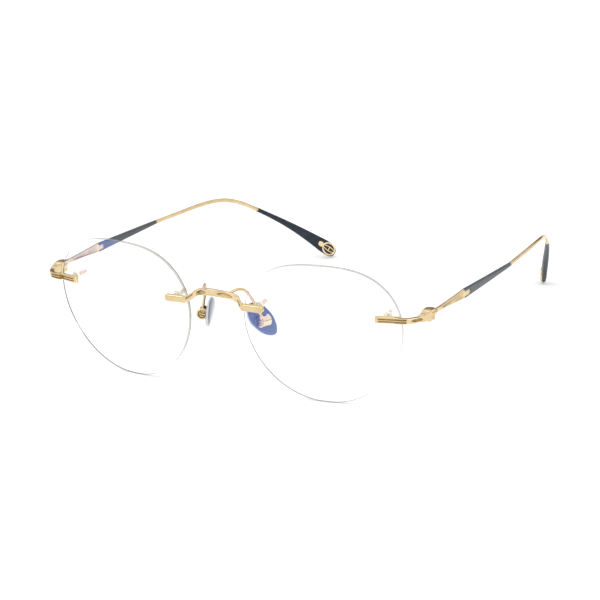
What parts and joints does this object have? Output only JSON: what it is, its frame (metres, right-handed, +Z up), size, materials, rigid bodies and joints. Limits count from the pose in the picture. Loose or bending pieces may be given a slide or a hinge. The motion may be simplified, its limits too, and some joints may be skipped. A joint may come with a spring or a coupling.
{
  "type": "eyeglasses",
  "caption": "Rimless eyeglasses with round clear lenses, a slim engraved bridge, folding wire temples with dark tips and rocking nose pads.",
  "frame": {"origin": "centre of the bounding box on the floor plane, temples open", "axes": "+X to the wearer's left, +Y back along the temples, +Z up"},
  "size_m": [0.13, 0.1518, 0.0435],
  "materials": {
    "lens": "clear, faint blue-violet coating",
    "gold": "pale gold plating, satin to bright",
    "bright_gold": "bright plating",
    "screw": "bright plating",
    "washer": "slightly translucent",
    "clear_sleeve": "clear",
    "dark_enamel": "satin dark blue-grey",
    "dark_acetate": "satin dark blue-grey",
    "pad": "translucent, satin"
  },
  "bodies": {
    "front": {"lens_left": "lens", "lens_right": "lens", "bridge": "gold", "bridge_posts": "gold", "bridge_washers": "gold", "bridge_sleeves_left": "clear_sleeve", "bridge_sleeves_right": "clear_sleeve", "endpiece_left": "gold", "endpiece_right": "gold", "end_posts_left": "gold", "end_posts_right": "gold", "end_washers_left": "gold", "end_washers_right": "gold", "end_sleeves_left": "clear_sleeve", "end_sleeves_right": "clear_sleeve", "hinge_screw_left": "screw", "hinge_screw_right": "screw", "hinge_washers_left": "washer", "hinge_washers_right": "washer", "pad_arm_left": "gold", "pad_arm_right": "gold", "pad_box_left": "gold", "pad_box_right": "gold", "pad_screw_left": "screw", "pad_screw_right": "screw"},
    "temple_left": {"temple_barrel_left": "gold", "temple_core_left": "gold", "temple_sleeve_left": "dark_enamel", "temple_tip_left": "dark_acetate", "tip_plate_left": "bright_gold"},
    "pad_left": {"nose_pad_left": "pad", "pad_mount_left": "gold", "pad_plate_left": "bright_gold"},
    "temple_right": {"temple_barrel_right": "gold", "temple_core_right": "gold", "temple_sleeve_right": "dark_enamel", "temple_tip_right": "dark_acetate", "tip_plate_right": "bright_gold"},
    "pad_right": {"nose_pad_right": "pad", "pad_mount_right": "gold", "pad_plate_right": "bright_gold"}
  },
  "joints": [
    {"name": "left_hinge", "type": "hinge", "parent": "front", "child": "temple_left", "pos_m": [0.0634, -0.05896, 0.02886], "axis": [0.0227, 0, 0.9997], "range_deg": [0, 78]},
    {"name": "right_hinge", "type": "hinge", "parent": "front", "child": "temple_right", "pos_m": [-0.0634, -0.05896, 0.02886], "axis": [-0.0227, 0, -0.9997], "range_deg": [0, 74]},
    {"name": "left_pad_rock", "type": "hinge", "parent": "front", "child": "pad_left", "pos_m": [0.0105, -0.06336, 0.02136], "axis": [0.3256, 0.9455, 0], "range_deg": [-8, 8]},
    {"name": "right_pad_rock", "type": "hinge", "parent": "front", "child": "pad_right", "pos_m": [-0.0105, -0.06336, 0.02136], "axis": [-0.3256, 0.9455, 0], "range_deg": [-8, 8]}
  ]
}
